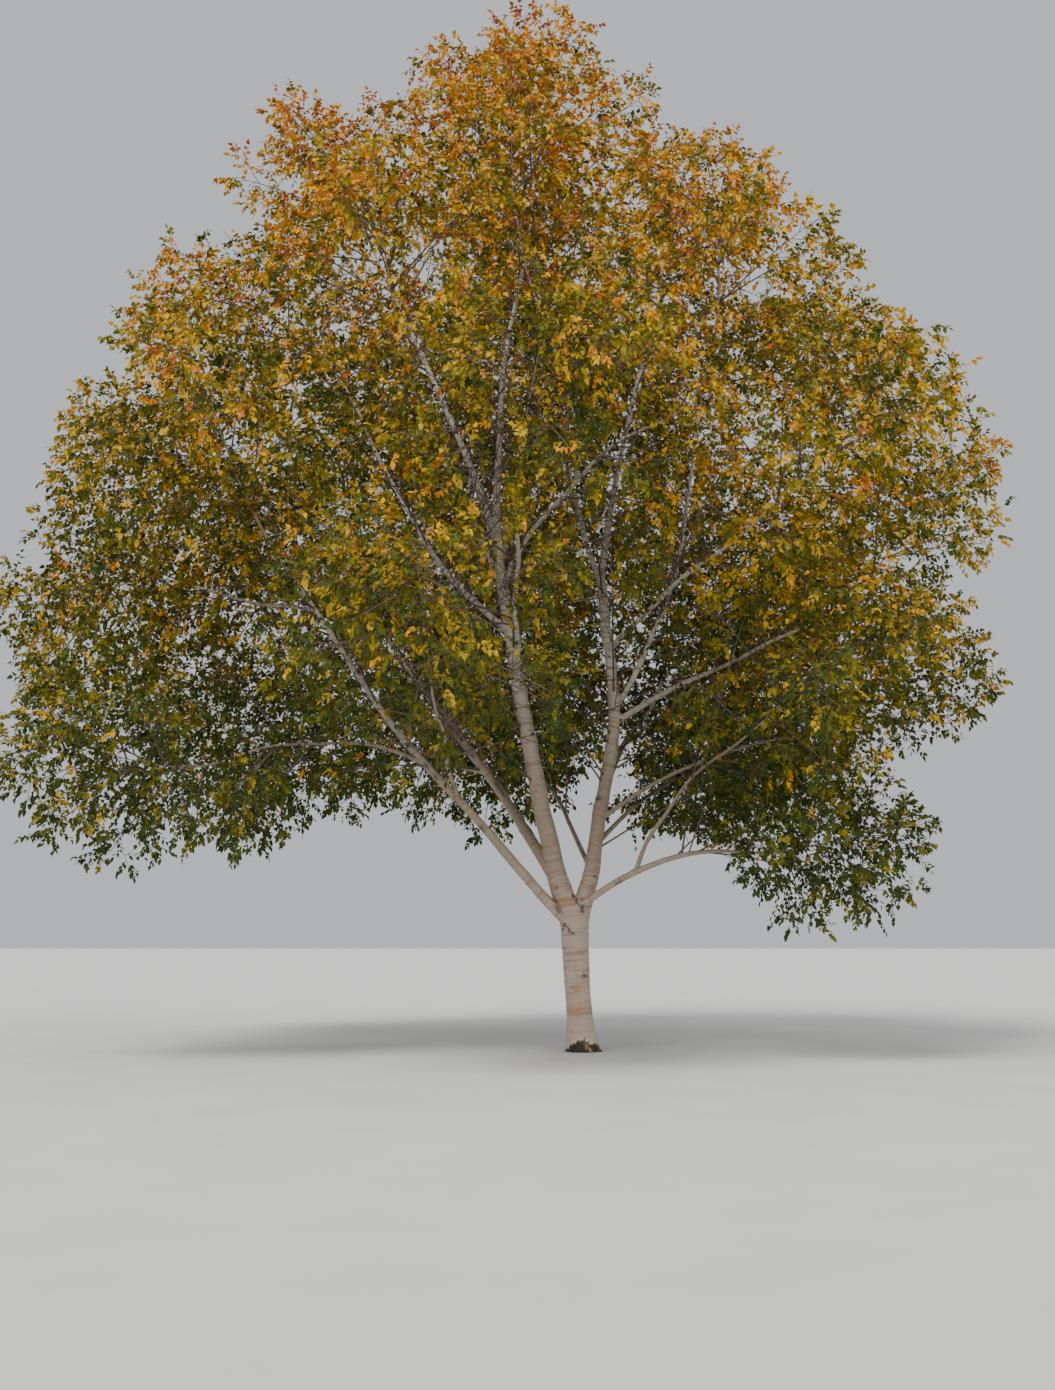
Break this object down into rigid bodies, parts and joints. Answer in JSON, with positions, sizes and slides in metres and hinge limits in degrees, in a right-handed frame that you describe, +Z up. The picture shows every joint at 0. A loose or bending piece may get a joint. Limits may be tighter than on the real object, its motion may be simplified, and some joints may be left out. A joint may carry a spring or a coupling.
{
  "type": "stone birch tree",
  "caption": "Broad stone birch in autumn leaf, rooted in the ground: short pale trunk forking at head height, spreading boughs and a full crown in amber and olive.",
  "frame": {"origin": "centre of the flat cut under the trunk, at ground level", "axes": "+Z up; +X to the right of the tree as the picture sees it; +Y away from the viewer"},
  "size_m": [14.0315, 13.6346, 14.7727],
  "materials": {
    "pale_bark": "pinkish cream birch bark, peeling in thin curls, with short dark level pores",
    "bough_bark": "thin greyish cream young bark with dark knots, browner towards the twigs",
    "amber_leaves": "thin autumn leaves, amber to orange with some green",
    "olive_leaves": "thin leaves on the turn, olive green with some amber"
  },
  "bodies": {
    "root": {"trunk": "pale_bark", "leader": "pale_bark", "right_stem": "pale_bark", "top_bough": "pale_bark", "upper_left_bough": "pale_bark", "upper_back_bough": "bough_bark", "upper_right_bough": "pale_bark", "upper_front_bough": "bough_bark", "left_middle_bough": "bough_bark", "right_arching_bough": "bough_bark", "inner_right_bough": "pale_bark", "right_upright_bough": "bough_bark", "front_left_bough": "bough_bark", "upper_back_left_bough": "bough_bark", "high_left_bough": "bough_bark", "low_left_bough": "pale_bark", "back_left_bough": "pale_bark", "back_bough": "pale_bark", "back_right_bough": "bough_bark", "long_right_bough": "bough_bark", "front_right_bough": "bough_bark", "front_bough": "bough_bark", "far_left_bough": "bough_bark", "lowest_left_bough": "bough_bark", "front_skirt_bough": "bough_bark", "back_left_skirt_bough": "bough_bark", "inner_back_bough": "bough_bark", "back_right_skirt_bough": "bough_bark", "right_skirt_bough": "bough_bark", "low_right_bough": "pale_bark", "rising_right_bough": "bough_bark", "top_foliage": "amber_leaves", "upper_left_foliage": "amber_leaves", "upper_back_foliage": "amber_leaves", "upper_right_foliage": "amber_leaves", "upper_front_foliage": "amber_leaves", "left_middle_foliage": "amber_leaves", "right_arching_foliage": "amber_leaves", "inner_right_foliage": "amber_leaves", "right_upright_foliage": "amber_leaves", "front_left_foliage": "amber_leaves", "upper_back_left_foliage": "amber_leaves", "high_left_foliage": "amber_leaves", "low_left_foliage": "amber_leaves", "back_left_foliage": "amber_leaves", "back_foliage": "amber_leaves", "back_right_foliage": "amber_leaves", "long_right_foliage": "amber_leaves", "front_right_foliage": "amber_leaves", "front_foliage": "amber_leaves", "far_left_foliage": "olive_leaves", "lowest_left_foliage": "olive_leaves", "front_skirt_foliage": "olive_leaves", "back_left_skirt_foliage": "olive_leaves", "inner_back_foliage": "olive_leaves", "back_right_skirt_foliage": "olive_leaves", "right_skirt_foliage": "olive_leaves", "low_right_foliage": "olive_leaves", "rising_right_foliage": "olive_leaves"}
  },
  "joints": []
}
